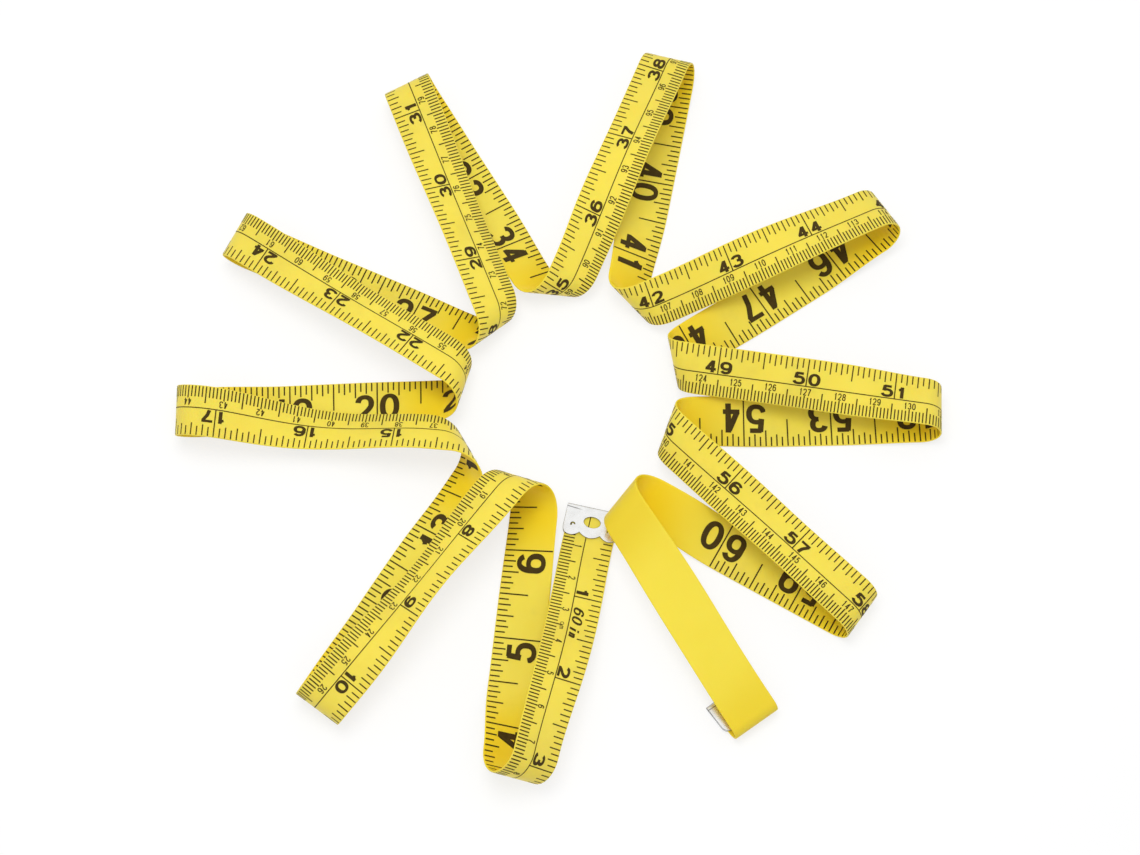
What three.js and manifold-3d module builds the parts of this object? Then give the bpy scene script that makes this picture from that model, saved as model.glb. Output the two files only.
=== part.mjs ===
// Cloth tape measure laid out as a flat ten-ray star, with a folded metal plate on each end.
// Millimetres and degrees, +Z up, standing on the plane z = 0.

import * as THREE from 'three';
import { mergeVertices } from 'three/addons/utils/BufferGeometryUtils.js';
import Module from 'manifold-3d';

// The ribbon
const tapeWidth = 14.5;
const tapeThickness = 0.5;

// The metal end plates, each folded round the tape's end like a letter U
const plateWidth = 16;
const plateLength = 9.2;
const plateGauge = 0.3;
const plateOverhang = 1.4;
const plateClearance = 0.3;
const plateCorner = 0.8;
const sideLobe = 5;
const notchDepth = 1.2;
const windowWidth = 4.8;
const windowLength = 3.2;
const windowOffset = 4.5;

// Slit where the tail bends up, along the line where it leaves its inner fold
const hingeGap = 0.7;

// Height that the last inner fold keeps above the floor, because it leans on the start plate
const lastFoldLift = 2;

// Route of the tape: the outermost or innermost point of each fold in plan, its radius and its lean.
// The first and the last point are the tape's two ends, and folds are outer and inner in turn.
const route = [
  { x: 7, y: -26 },
  { x: -14.5, y: -103, radius: 7, lean: 35 },
  { x: -12.5, y: -18.5, radius: 7.5, lean: 17.5 },
  { x: -69.5, y: -83.5, radius: 5.5, lean: 10 },
  { x: -28.5, y: -10, radius: 7.5, lean: 27.5 },
  { x: -112.5, y: 2.5, radius: 6.5, lean: 10 },
  { x: -30.5, y: 10.5, radius: 6.5, lean: 17.5 },
  { x: -98.5, y: 57.5, radius: 5.5, lean: 5 },
  { x: -22, y: 27.5, radius: 6, lean: 20 },
  { x: -49, y: 106.5, radius: 5, lean: 5 },
  { x: -4, y: 39, radius: 5.5, lean: 25 },
  { x: 30.5, y: 114.5, radius: 5.5, lean: 5 },
  { x: 18.5, y: 35, radius: 5.5, lean: 30 },
  { x: 93.5, y: 64, radius: 5.5, lean: 15 },
  { x: 30, y: 17.5, radius: 5.5, lean: 20 },
  { x: 106.5, y: 3, radius: 5, lean: 5 },
  { x: 28, y: -2, radius: 5, lean: 25 },
  { x: 81.5, y: -57, radius: 5, lean: 0 },
  { x: 15, y: -23.5, radius: 6.5, lean: 30 },
  { x: 51.5, y: -87, radius: 2.5, lean: 0 },
  { x: 45, y: -78.5 },
];

// How each upper run hangs between its folds, from the start: its dip, its extra twist and its sideways bow
const upperRuns = [
  { sag: -1, twist: 5, bow: 1 },
  { sag: 0.5, twist: 30, bow: 0 },
  { sag: 8, twist: 10, bow: 0 },
  { sag: 1, twist: 10, bow: 0 },
  { sag: 1.5, twist: 10, bow: 0 },
  { sag: -3.5, twist: -20, bow: 0 },
  { sag: -1.5, twist: 0, bow: 0 },
  { sag: -0.5, twist: 15, bow: 0 },
  { sag: -0.5, twist: -15, bow: 0 },
  { sag: -0.5, twist: -10, bow: 0 },
];

// Each lower run lies flat on the floor between these two shares of its length
const flatFrom = 0.36;
const flatTo = 0.54;

// Mesh density
const foldStep = 15;
const runSteps = 10;
const widthSteps = 2;
const arcSteps = 8;

const tapeColour = 0xf0dc35;
const plateColour = 0xdcdcd8;

// Heights that follow from the sizes above
const floorHeight = tapeThickness / 2;
const slotHeight = tapeThickness + 2 * plateClearance;
const plateHeight = slotHeight + 2 * plateGauge;
const plateTapeHeight = plateHeight / 2;
const plateLead = plateLength - plateOverhang + plateClearance;
const tailFold = route.length - 3;

const radians = THREE.MathUtils.degToRad;
const smooth = (t) => t * t * (3 - 2 * t);
const bump = (t) => 16 * (t * (1 - t)) ** 2;
const share = (value, from, to) => THREE.MathUtils.clamp((value - from) / (to - from), 0, 1);
const isInner = (fold) => fold % 2 === 0;

// A fold turns the tape from direction u to direction v round a leaning cylinder
function foldFrame({ radius, lean }, u, v) {
  const along = u.clone().add(v);
  const outward = u.clone().sub(v);
  const cosTurn = along.length() / 2;
  const sinTurn = outward.length() / 2;
  along.normalize();
  outward.normalize();
  const cosLean = Math.cos(radians(lean));
  const sinLean = Math.sin(radians(lean));
  const cosPitch = cosTurn * cosLean;
  const sinPitch = Math.sqrt(1 - cosPitch ** 2);
  const half = Math.atan2(sinTurn, cosTurn * sinLean);
  const advance = radius * (Math.sin(half) * sinLean + half * cosPitch / sinPitch * cosLean);
  const depth = radius * (1 - Math.cos(half));
  return { radius, along, outward, cosLean, sinLean, cosPitch, sinPitch, half, advance, depth };
}

// Directions of the straight runs and the points where they leave and meet the folds
function planRuns() {
  const apex = route.map(({ x, y }) => new THREE.Vector3(x, y, 0));
  const entry = apex.map((p) => p.clone());
  const exit = apex.map((p) => p.clone());
  const frames = [];
  let directions = [];
  const settleRounds = 8;
  for (let round = 0; round < settleRounds; round += 1) {
    directions = apex.slice(1).map((_, i) => entry[i + 1].clone().sub(exit[i]).normalize());
    for (let i = 1; i < route.length - 1; i += 1) {
      const frame = foldFrame(route[i], directions[i - 1], directions[i]);
      const middle = apex[i].clone().addScaledVector(frame.outward, -frame.depth);
      entry[i].copy(middle).addScaledVector(frame.along, -frame.advance);
      exit[i].copy(middle).addScaledVector(frame.along, frame.advance);
      frames[i] = frame;
    }
  }
  return { apex, entry, exit, frames, directions };
}

// Angle between the tape's width and the floor where a fold begins or ends
function rollAt(fold, angle) {
  const tangent = fold.rise.clone().multiplyScalar(Math.cos(angle)).addScaledVector(fold.outward, -Math.sin(angle));
  const inward = fold.rise.clone().multiplyScalar(-Math.sin(angle)).addScaledVector(fold.outward, -Math.cos(angle));
  const travel = fold.axis.clone().multiplyScalar(fold.cosPitch).addScaledVector(tangent, fold.sinPitch);
  return Math.asin(travel.cross(inward).z);
}

// Adds the cylinder, the heights and the length along the tape to one fold
function placeFold(frame, index, apex, s) {
  const sign = isInner(index) ? 1 : -1;
  const { radius, along, outward, cosLean, sinLean, cosPitch, sinPitch, half } = frame;
  const axis = along.clone().multiplyScalar(cosLean).setZ(-sign * sinLean);
  const rise = along.clone().multiplyScalar(sinLean).setZ(sign * cosLean);
  const fold = { ...frame, axis, rise };
  fold.hand = Math.sign(axis.dot(outward.clone().cross(rise)));
  fold.length = 2 * radius * half / sinPitch;
  fold.s = s + fold.length / 2;
  fold.slope = fold.hand * cosPitch / sinPitch;
  fold.zone = tapeWidth / 2 * Math.abs(fold.slope);
  fold.rollIn = rollAt(fold, -half);
  fold.rollOut = rollAt(fold, half);
  const climb = 2 * radius * Math.sin(half) * rise.z + fold.length * cosPitch * axis.z;
  const tilt = tapeWidth / 2 * Math.abs(Math.sin(sign > 0 ? fold.rollIn : fold.rollOut));
  if (sign > 0) {
    fold.zIn = floorHeight + tilt + (index === tailFold ? lastFoldLift : 0);
    fold.zOut = fold.zIn + climb;
  } else {
    fold.zOut = tilt + (index === route.length - 2 ? plateTapeHeight : floorHeight);
    fold.zIn = fold.zOut - climb;
  }
  const middleHeight = (fold.zIn + fold.zOut) / 2;
  fold.centre = apex.clone().addScaledVector(outward, -radius).setZ(middleHeight);
  return fold;
}

// The whole lay: folds and runs in order, with their places along the tape
function layTape() {
  const { apex, entry, exit, frames, directions } = planRuns();
  const folds = [];
  const runs = [];
  let s = 0;
  for (let i = 0; i < route.length - 1; i += 1) {
    if (i > 0) {
      folds[i] = placeFold(frames[i], i, apex[i], s);
      s += folds[i].length;
    }
    const length = entry[i + 1].distanceTo(exit[i]);
    const side = new THREE.Vector3(-directions[i].y, directions[i].x, 0).multiplyScalar(isInner(i) ? 1 : -1);
    runs.push({ index: i, start: exit[i], direction: directions[i], side, s, length });
    s += length;
  }
  return { folds, runs, length: s };
}

const lay = layTape();

// Point of the middle surface on a fold's cylinder or on the flat strips beside it
function foldPoint(fold, s, w) {
  const ahead = s - fold.s;
  const onAxis = ahead * fold.cosPitch + fold.hand * w * fold.sinPitch;
  const round = ahead * fold.sinPitch - fold.hand * w * fold.cosPitch;
  const limit = fold.radius * fold.half;
  const wrapped = THREE.MathUtils.clamp(round, -limit, limit);
  const angle = wrapped / fold.radius;
  const rest = round - wrapped;
  const up = fold.radius * Math.sin(angle) + rest * Math.cos(angle);
  const out = fold.radius * Math.cos(angle) - rest * Math.sin(angle);
  return fold.centre.clone()
    .addScaledVector(fold.rise, up)
    .addScaledVector(fold.outward, out)
    .addScaledVector(fold.axis, onAxis);
}

// Point of the middle surface on a straight run
function runPoint(run, s, w) {
  const before = lay.folds[run.index];
  const after = lay.folds[run.index + 1];
  const from = before ? run.s + before.zone : run.s + plateLead;
  const to = after ? run.s + run.length - after.zone : run.s + run.length;
  const t = share(s, from, to);
  const rollFrom = before ? before.rollOut : 0;
  const rollTo = after ? after.rollIn : 0;
  let roll = 0;
  let bow = 0;
  let height = plateTapeHeight;
  if (isInner(run.index)) {
    const hang = upperRuns[run.index / 2];
    const heightFrom = before ? before.zOut : plateTapeHeight;
    roll = rollFrom + (rollTo - rollFrom) * smooth(t) + radians(hang.twist) * bump(t);
    height = heightFrom + (after.zIn - heightFrom) * smooth(t) - hang.sag * bump(t);
    bow = hang.bow * bump(t);
  } else if (after) {
    const rising = smooth(share(t, flatTo, 1));
    roll = rollFrom * (1 - smooth(share(t, 0, flatFrom))) + rollTo * rising;
    height = floorHeight + tapeWidth / 2 * Math.abs(Math.sin(roll));
    height += run.index + 1 === tailFold ? lastFoldLift * rising : 0;
  }
  return run.start.clone()
    .addScaledVector(run.direction, s - run.s)
    .addScaledVector(run.side, bow + w * Math.cos(roll))
    .setZ(height + w * Math.sin(roll));
}

// Point of the middle surface at a length s along the tape and a distance w from its middle line
function tapePoint(s, w) {
  const near = lay.folds.find((fold) => fold && Math.abs(s - fold.s) < fold.length / 2 + fold.zone);
  if (near) {
    return foldPoint(near, s, w);
  }
  const run = lay.runs.find((one) => s <= one.s + one.length) ?? lay.runs.at(-1);
  return runPoint(run, s, w);
}

// Unit normal of the middle surface, from small steps along and across the tape
function tapeNormal(s, w) {
  const step = 0.02;
  const along = tapePoint(s + step, w).sub(tapePoint(s - step, w));
  const across = tapePoint(s, w + step).sub(tapePoint(s, w - step));
  return along.cross(across).normalize();
}

// Lines across the tape that follow the folds' straight rulings, each as its middle and its slope
function foldLines(fold) {
  const count = Math.ceil(2 * fold.half / radians(foldStep));
  const lines = [];
  for (let k = 0; k <= count; k += 1) {
    lines.push({ s: fold.s + (k / count - 0.5) * fold.length, slope: fold.slope });
  }
  return lines;
}

function runLines(run) {
  const slopeFrom = lay.folds[run.index]?.slope ?? 0;
  const slopeTo = lay.folds[run.index + 1]?.slope ?? 0;
  const lines = [];
  for (let k = 0; k <= runSteps; k += 1) {
    const t = k / runSteps;
    lines.push({ s: run.s + t * run.length, slope: slopeFrom + (slopeTo - slopeFrom) * t });
  }
  return lines;
}

// Lines of a stretch of runs and folds, each joint between two of them given once
function stretchLines(parts) {
  const lines = parts.flatMap((part, i) => part.slice(i === 0 ? 0 : 1));
  return lines.map((line) => ({ ...line }));
}

// Closed solid of the ribbon over a list of lines
function ribbonGeometry(lines) {
  const columns = widthSteps + 1;
  const positions = [];
  const indices = [];
  for (const line of lines) {
    for (const face of [1, -1]) {
      for (let k = 0; k < columns; k += 1) {
        const w = tapeWidth * (k / widthSteps - 0.5);
        const s = line.s + line.slope * w;
        const point = tapePoint(s, w).addScaledVector(tapeNormal(s, w), face * tapeThickness / 2);
        positions.push(point.x, point.y, point.z);
      }
    }
  }
  const ring = [];
  for (let k = 0; k < columns; k += 1) {
    ring.push(k);
  }
  for (let k = columns - 1; k >= 0; k -= 1) {
    ring.push(columns + k);
  }
  const around = ring.length;
  const quad = (a, b, c, d) => indices.push(a, b, c, a, c, d);
  for (let row = 0; row < lines.length - 1; row += 1) {
    const here = row * around;
    const next = here + around;
    for (let k = 0; k < around; k += 1) {
      const from = ring[k];
      const to = ring[(k + 1) % around];
      quad(here + from, next + from, next + to, here + to);
    }
  }
  const last = (lines.length - 1) * around;
  for (let k = 0; k < widthSteps; k += 1) {
    quad(k, k + 1, columns + k + 1, columns + k);
    quad(last + k, last + columns + k, last + columns + k + 1, last + k + 1);
  }
  const geometry = new THREE.BufferGeometry();
  geometry.setAttribute('position', new THREE.Float32BufferAttribute(positions, 3));
  geometry.setIndex(indices);
  geometry.computeVertexNormals();
  return geometry;
}

// Least distance between two layers of the tape, measured on points of the middle surface
function leastLayerGap() {
  const alongStep = 1.5;
  const acrossSteps = 8;
  const sameLayer = 3 * Math.max(...route.map(({ radius }) => radius ?? 0));
  const points = [];
  for (let s = 0; s <= lay.length; s += alongStep) {
    for (let k = 0; k <= acrossSteps; k += 1) {
      points.push({ s, place: tapePoint(s, tapeWidth * (k / acrossSteps - 0.5)) });
    }
  }
  let least = Infinity;
  points.forEach((one, i) => {
    for (let j = i + 1; j < points.length; j += 1) {
      const other = points[j];
      if (other.s - one.s > sameLayer && Math.abs(other.place.x - one.place.x) < least) {
        least = Math.min(least, other.place.distanceTo(one.place));
      }
    }
  });
  return least - tapeThickness;
}

const wasm = await Module();
wasm.setup();

function toSolid(geometry) {
  const bare = geometry.clone();
  bare.deleteAttribute('normal');
  bare.deleteAttribute('uv');
  const merged = mergeVertices(bare);
  return new wasm.Manifold(new wasm.Mesh({
    numProp: 3,
    vertProperties: new Float32Array(merged.attributes.position.array),
    triVerts: new Uint32Array(merged.index.array),
  }));
}

function toGeometry(solid) {
  const mesh = solid.getMesh();
  const geometry = new THREE.BufferGeometry();
  geometry.setAttribute('position', new THREE.BufferAttribute(new Float32Array(mesh.vertProperties), 3));
  geometry.setIndex(new THREE.BufferAttribute(new Uint32Array(mesh.triVerts), 1));
  geometry.computeVertexNormals();
  return geometry;
}

// Outline of an end plate seen from above: square at its folded end, with three lobes at the other.
// x runs from the tape's end along the tape, y across it.
function plateOutline() {
  const end = -plateOverhang;
  const tip = plateLength - plateOverhang;
  const edge = plateWidth / 2;
  const notch = edge - sideLobe;
  const valley = tip - notchDepth;
  const lobe = sideLobe / 2;
  const shape = new THREE.Shape();
  shape.moveTo(end, -edge);
  shape.lineTo(tip - lobe, -edge);
  shape.quadraticCurveTo(tip, -edge, tip, -edge + lobe);
  shape.quadraticCurveTo(tip, -notch - lobe / 2, valley, -notch);
  shape.quadraticCurveTo(tip + notchDepth, 0, valley, notch);
  shape.quadraticCurveTo(tip, notch + lobe / 2, tip, edge - lobe);
  shape.quadraticCurveTo(tip, edge, tip - lobe, edge);
  shape.lineTo(end, edge);
  shape.closePath();
  return shape;
}

// Side profile of an end plate, rounded where the metal folds over; x as above, y upwards
function plateProfile() {
  const end = -plateOverhang;
  const far = plateLength + plateOverhang;
  const shape = new THREE.Shape();
  shape.moveTo(end + plateCorner, 0);
  shape.lineTo(far, 0);
  shape.lineTo(far, plateHeight);
  shape.lineTo(end + plateCorner, plateHeight);
  shape.absarc(end + plateCorner, plateHeight - plateCorner, plateCorner, Math.PI / 2, Math.PI, false);
  shape.absarc(end + plateCorner, plateCorner, plateCorner, Math.PI, Math.PI * 1.5, false);
  return shape;
}

// One end plate: two leaves and the fold between them, with an oval window in the upper leaf
function plateGeometry() {
  const flat = { depth: plateHeight, bevelEnabled: false, curveSegments: arcSteps };
  const across = { depth: 2 * plateWidth, bevelEnabled: false, curveSegments: arcSteps };
  const block = toSolid(new THREE.ExtrudeGeometry(plateOutline(), flat));
  const profile = new THREE.ExtrudeGeometry(plateProfile(), across);
  profile.rotateX(Math.PI / 2).translate(0, plateWidth, 0);
  const slotLength = 2 * plateLength;
  const slot = new THREE.BoxGeometry(slotLength, 2 * plateWidth, slotHeight);
  slot.translate(plateGauge - plateOverhang + slotLength / 2, 0, plateHeight / 2);
  const window = new THREE.CylinderGeometry(0.5, 0.5, plateHeight, 3 * arcSteps);
  window.rotateX(Math.PI / 2).scale(windowLength, windowWidth, 1);
  window.translate(windowOffset - plateOverhang, 0, plateHeight);
  return toGeometry(block.intersect(toSolid(profile)).subtract(toSolid(slot)).subtract(toSolid(window)));
}

const tapeMaterial = () => new THREE.MeshStandardMaterial({ color: tapeColour, roughness: 0.5, metalness: 0 });
const plateMaterial = () => new THREE.MeshStandardMaterial({ color: plateColour, roughness: 0.2, metalness: 1 });

function namedMesh(name, geometry, material) {
  const mesh = new THREE.Mesh(geometry, material);
  mesh.name = name;
  return mesh;
}

// The ribbon in two lengths: the star, up to the end of its last inner fold, and the tail that lifts
function tapeMeshes() {
  const starParts = [runLines(lay.runs[0])];
  for (let i = 1; i < tailFold; i += 1) {
    starParts.push(foldLines(lay.folds[i]), runLines(lay.runs[i]));
  }
  starParts.push(foldLines(lay.folds[tailFold]));
  const tailParts = [runLines(lay.runs[tailFold])];
  for (let i = tailFold + 1; i < route.length - 1; i += 1) {
    tailParts.push(foldLines(lay.folds[i]), runLines(lay.runs[i]));
  }
  const star = stretchLines(starParts);
  const tail = stretchLines(tailParts);
  star.at(-1).s -= hingeGap / 2;
  tail[0].s += hingeGap / 2;
  return [
    namedMesh('tape', ribbonGeometry(star), tapeMaterial()),
    namedMesh('tail', ribbonGeometry(tail), tapeMaterial()),
  ];
}

// An end plate at one end of the tape, with its window towards the tape's own direction
function plateMesh(name, place, inward) {
  const mesh = namedMesh(name, plateGeometry(), plateMaterial());
  mesh.position.set(place.x, place.y, 0);
  mesh.rotation.z = Math.atan2(inward.y, inward.x);
  return mesh;
}

function buildTapeMeasure() {
  const group = new THREE.Group();
  const first = lay.runs[0];
  const last = lay.runs.at(-1);
  const end = last.start.clone().addScaledVector(last.direction, last.length);
  group.add(...tapeMeshes());
  group.add(plateMesh('start_tip', first.start, first.direction));
  group.add(plateMesh('end_tip', end, last.direction.clone().negate()));
  const box = new THREE.Box3().setFromObject(group);
  const centre = box.getCenter(new THREE.Vector3());
  group.position.set(-centre.x, -centre.y, -box.min.z);
  return group;
}

console.log(`tape length ${lay.length.toFixed(1)} mm, least gap between layers ${leastLayerGap().toFixed(2)} mm`);

export default buildTapeMeasure();
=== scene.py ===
import math
import bmesh
import bpy
import numpy as np
from mathutils import Matrix, Vector


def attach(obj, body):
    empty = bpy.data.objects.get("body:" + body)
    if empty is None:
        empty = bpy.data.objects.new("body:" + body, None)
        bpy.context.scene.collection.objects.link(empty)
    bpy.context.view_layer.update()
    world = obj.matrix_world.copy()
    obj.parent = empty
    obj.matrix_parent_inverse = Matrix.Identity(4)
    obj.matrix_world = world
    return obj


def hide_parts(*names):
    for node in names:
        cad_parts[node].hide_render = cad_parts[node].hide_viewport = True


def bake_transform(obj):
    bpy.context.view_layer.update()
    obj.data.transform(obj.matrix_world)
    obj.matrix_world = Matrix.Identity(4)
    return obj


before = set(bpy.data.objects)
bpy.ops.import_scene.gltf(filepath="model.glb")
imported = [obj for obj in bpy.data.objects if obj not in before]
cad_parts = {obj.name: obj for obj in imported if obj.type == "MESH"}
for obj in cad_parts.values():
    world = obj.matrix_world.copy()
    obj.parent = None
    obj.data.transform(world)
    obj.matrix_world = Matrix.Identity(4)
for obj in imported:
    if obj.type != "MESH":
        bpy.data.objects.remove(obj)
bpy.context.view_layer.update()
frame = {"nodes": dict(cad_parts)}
scene = bpy.context.scene
print("frame loaded:", ", ".join(frame["nodes"]))

# Camera, about 65 cm off and 18 degrees from straight down
view = {
    "target": (0.002846, -0.006298, 0.0),
    "distance": 0.650,
    "offVertical": 18.0,
    "lens": 70.92,
    "sensor": 36.0,
    "clip": (0.01, 20.0),
}


def addObject(name, data):
    obj = bpy.data.objects.new(name, data)
    scene.collection.objects.link(obj)
    return obj


def addCamera():
    data = bpy.data.cameras.new("photoView")
    data.sensor_fit = "HORIZONTAL"
    data.sensor_width = view["sensor"]
    data.lens = view["lens"]
    data.clip_start, data.clip_end = view["clip"]
    camera = addObject("photoView", data)
    off = math.radians(view["offVertical"])
    target = Vector(view["target"])
    camera.location = target + view["distance"] * Vector((0, -math.sin(off), math.cos(off)))
    camera.rotation_euler = (target - camera.location).to_track_quat("-Z", "Y").to_euler()
    scene.camera = camera


addCamera()
print("camera set")

# The tape and the way it is folded, in metres and degrees
tape = {
    "width": 0.0145,
    "thickness": 0.0005,
    "flatFrom": 0.36,  # each lower run lies flat between these shares of its length
    "flatTo": 0.54,
    "lastFoldLift": 0.002,  # the last inner fold leans on the start plate
    "plateHeight": 0.0017,
    "plateLead": 0.0081,
    "starCentre": (0.002846, -0.0062984, 0.0),
    "edgeInset": 0.00025,  # radius of the rounded selvedge
    "selvedge": 0.0005,
    "foldStep": 4.0,
    "runStep": 0.0015,
    "tailStart": 0.006,  # the tail's own piece starts this far before it leaves its fold
}

route = [  # x and y of each fold's tip in plan, its radius and its lean; the first and last are the ends
    (0.0070, -0.0260, 0, 0),
    (-0.0145, -0.1030, 0.0070, 35),
    (-0.0125, -0.0185, 0.0075, 17.5),
    (-0.0695, -0.0835, 0.0055, 10),
    (-0.0285, -0.0100, 0.0075, 27.5),
    (-0.1125, 0.0025, 0.0065, 10),
    (-0.0305, 0.0105, 0.0065, 17.5),
    (-0.0985, 0.0575, 0.0055, 5),
    (-0.0220, 0.0275, 0.0060, 20),
    (-0.0490, 0.1065, 0.0050, 5),
    (-0.0040, 0.0390, 0.0055, 25),
    (0.0305, 0.1145, 0.0055, 5),
    (0.0185, 0.0350, 0.0055, 30),
    (0.0935, 0.0640, 0.0055, 15),
    (0.0300, 0.0175, 0.0055, 20),
    (0.1065, 0.0030, 0.0050, 5),
    (0.0280, -0.0020, 0.0050, 25),
    (0.0815, -0.0570, 0.0050, 0),
    (0.0150, -0.0235, 0.0065, 30),
    (0.0515, -0.0870, 0.0025, 0),
    (0.0450, -0.0785, 0, 0),
]

upperRuns = [  # dip, extra twist and sideways bow of each upper run
    (-0.0010, 5, 0.001),
    (0.0005, 30, 0),
    (0.0080, 10, 0),
    (0.0010, 10, 0),
    (0.0015, 10, 0),
    (-0.0035, -20, 0),
    (-0.0015, 0, 0),
    (-0.0005, 15, 0),
    (-0.0005, -15, 0),
    (-0.0005, -10, 0),
]

tailFold = len(route) - 3
floorHeight = tape["thickness"] / 2
plateTapeHeight = tape["plateHeight"] / 2


def unit(v):
    return v / np.linalg.norm(v)


def smooth(t):
    return t * t * (3 - 2 * t)


def bump(t):
    return 16 * (t * (1 - t)) ** 2


def share(value, start, stop):
    return np.clip((value - start) / (stop - start), 0, 1)


def foldFrame(radius, lean, u, v):  # a fold turns the tape from direction u to v round a leaning cylinder
    cosTurn, sinTurn = np.linalg.norm(u + v) / 2, np.linalg.norm(u - v) / 2
    cosLean, sinLean = math.cos(math.radians(lean)), math.sin(math.radians(lean))
    cosPitch = cosTurn * cosLean
    sinPitch = math.sqrt(1 - cosPitch ** 2)
    half = math.atan2(sinTurn, cosTurn * sinLean)
    return {
        "radius": radius, "along": unit(u + v), "outward": unit(u - v), "cosLean": cosLean, "sinLean": sinLean,
        "cosPitch": cosPitch, "sinPitch": sinPitch, "half": half, "depth": radius * (1 - math.cos(half)),
        "advance": radius * (math.sin(half) * sinLean + half * cosPitch / sinPitch * cosLean),
    }


def planRuns():
    apex = [np.array((x, y, 0.0)) for x, y, _, _ in route]
    entry, leave = list(apex), list(apex)
    frames = [None] * len(route)
    for _ in range(8):  # the runs settle between the folds
        directions = [unit(entry[i + 1] - leave[i]) for i in range(len(route) - 1)]
        for i in range(1, len(route) - 1):
            fold = foldFrame(route[i][2], route[i][3], directions[i - 1], directions[i])
            middle = apex[i] - fold["outward"] * fold["depth"]
            entry[i] = middle - fold["along"] * fold["advance"]
            leave[i] = middle + fold["along"] * fold["advance"]
            frames[i] = fold
    return apex, entry, leave, frames, directions


def rollAt(fold, angle):
    tangent = fold["rise"] * math.cos(angle) - fold["outward"] * math.sin(angle)
    inward = -fold["rise"] * math.sin(angle) - fold["outward"] * math.cos(angle)
    travel = fold["axis"] * fold["cosPitch"] + tangent * fold["sinPitch"]
    return math.asin(np.cross(travel, inward)[2])


def placeFold(fold, index, apex, s):
    sign = 1 if index % 2 == 0 else -1
    fold["axis"] = fold["along"] * fold["cosLean"] + np.array((0, 0, -sign * fold["sinLean"]))
    fold["rise"] = fold["along"] * fold["sinLean"] + np.array((0, 0, sign * fold["cosLean"]))
    fold["hand"] = np.sign(fold["axis"] @ np.cross(fold["outward"], fold["rise"]))
    fold["length"] = 2 * fold["radius"] * fold["half"] / fold["sinPitch"]
    fold["s"] = s + fold["length"] / 2
    fold["slope"] = fold["hand"] * fold["cosPitch"] / fold["sinPitch"]
    fold["zone"] = tape["width"] / 2 * abs(fold["slope"])
    fold["rollIn"], fold["rollOut"] = rollAt(fold, -fold["half"]), rollAt(fold, fold["half"])
    climb = 2 * fold["radius"] * math.sin(fold["half"]) * fold["rise"][2]
    climb += fold["length"] * fold["cosPitch"] * fold["axis"][2]
    tilt = tape["width"] / 2 * abs(math.sin(fold["rollIn"] if sign > 0 else fold["rollOut"]))
    if sign > 0:
        fold["zIn"] = floorHeight + tilt + (tape["lastFoldLift"] if index == tailFold else 0)
        fold["zOut"] = fold["zIn"] + climb
    else:
        fold["zOut"] = tilt + (plateTapeHeight if index == len(route) - 2 else floorHeight)
        fold["zIn"] = fold["zOut"] - climb
    fold["centre"] = apex - fold["outward"] * fold["radius"]
    fold["centre"][2] = (fold["zIn"] + fold["zOut"]) / 2


def layTape():
    apex, entry, leave, folds, directions = planRuns()
    runs, s = [], 0.0
    for i, direction in enumerate(directions):
        if i > 0:
            placeFold(folds[i], i, apex[i], s)
            s += folds[i]["length"]
        length = np.linalg.norm(entry[i + 1] - leave[i])
        side = np.array((-direction[1], direction[0], 0)) * (1 if i % 2 == 0 else -1)
        runs.append({"start": leave[i], "direction": direction, "side": side, "s": s, "length": length})
        s += length
    return folds, runs, s


folds, runs, tapeLength = layTape()


def foldPoints(fold, s, w):
    ahead = s - fold["s"]
    onAxis = ahead * fold["cosPitch"] + fold["hand"] * w * fold["sinPitch"]
    around = ahead * fold["sinPitch"] - fold["hand"] * w * fold["cosPitch"]
    limit = fold["radius"] * fold["half"]
    wrapped = np.clip(around, -limit, limit)
    angle, rest = wrapped / fold["radius"], around - wrapped
    up = fold["radius"] * np.sin(angle) + rest * np.cos(angle)
    out = fold["radius"] * np.cos(angle) - rest * np.sin(angle)
    return fold["centre"] + np.outer(up, fold["rise"]) + np.outer(out, fold["outward"]) + np.outer(onAxis, fold["axis"])


def runPoints(index, s, w):
    run, before, after = runs[index], folds[index], folds[index + 1]
    start = run["s"] + (before["zone"] if before else tape["plateLead"])
    stop = run["s"] + run["length"] - (after["zone"] if after else 0)
    t = share(s, start, stop)
    rollStart, rollStop = before["rollOut"] if before else 0, after["rollIn"] if after else 0
    roll, bow = np.zeros_like(s), np.zeros_like(s)
    height = np.full_like(s, plateTapeHeight)
    if index % 2 == 0:
        dip, twist, bowed = upperRuns[index // 2]
        heightStart = before["zOut"] if before else plateTapeHeight
        roll = rollStart + (rollStop - rollStart) * smooth(t) + math.radians(twist) * bump(t)
        height = heightStart + (after["zIn"] - heightStart) * smooth(t) - dip * bump(t)
        bow = bowed * bump(t)
    elif after:
        rising = smooth(share(t, tape["flatTo"], 1))
        roll = rollStart * (1 - smooth(share(t, 0, tape["flatFrom"]))) + rollStop * rising
        height = floorHeight + tape["width"] / 2 * np.abs(np.sin(roll))
        height = height + (tape["lastFoldLift"] * rising if index + 1 == tailFold else 0)
    points = run["start"] + np.outer(s - run["s"], run["direction"]) + np.outer(bow + w * np.cos(roll), run["side"])
    points[:, 2] = height + w * np.sin(roll)
    return points


def tapePoints(s, w):  # the middle surface at a length s along the tape and w across it
    points = np.empty((len(s), 3))
    for i, run in enumerate(runs):
        stop = run["s"] + run["length"]
        near = (s >= run["s"] if i else np.ones(len(s), bool)) & (s <= stop if i < len(runs) - 1 else True)
        points[near] = runPoints(i, s[near], w[near])
    for fold in folds[1:-1]:
        near = np.abs(s - fold["s"]) < fold["length"] / 2 + fold["zone"]
        points[near] = foldPoints(fold, s[near], w[near])
    return points + np.array(tape["starCentre"])


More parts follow.
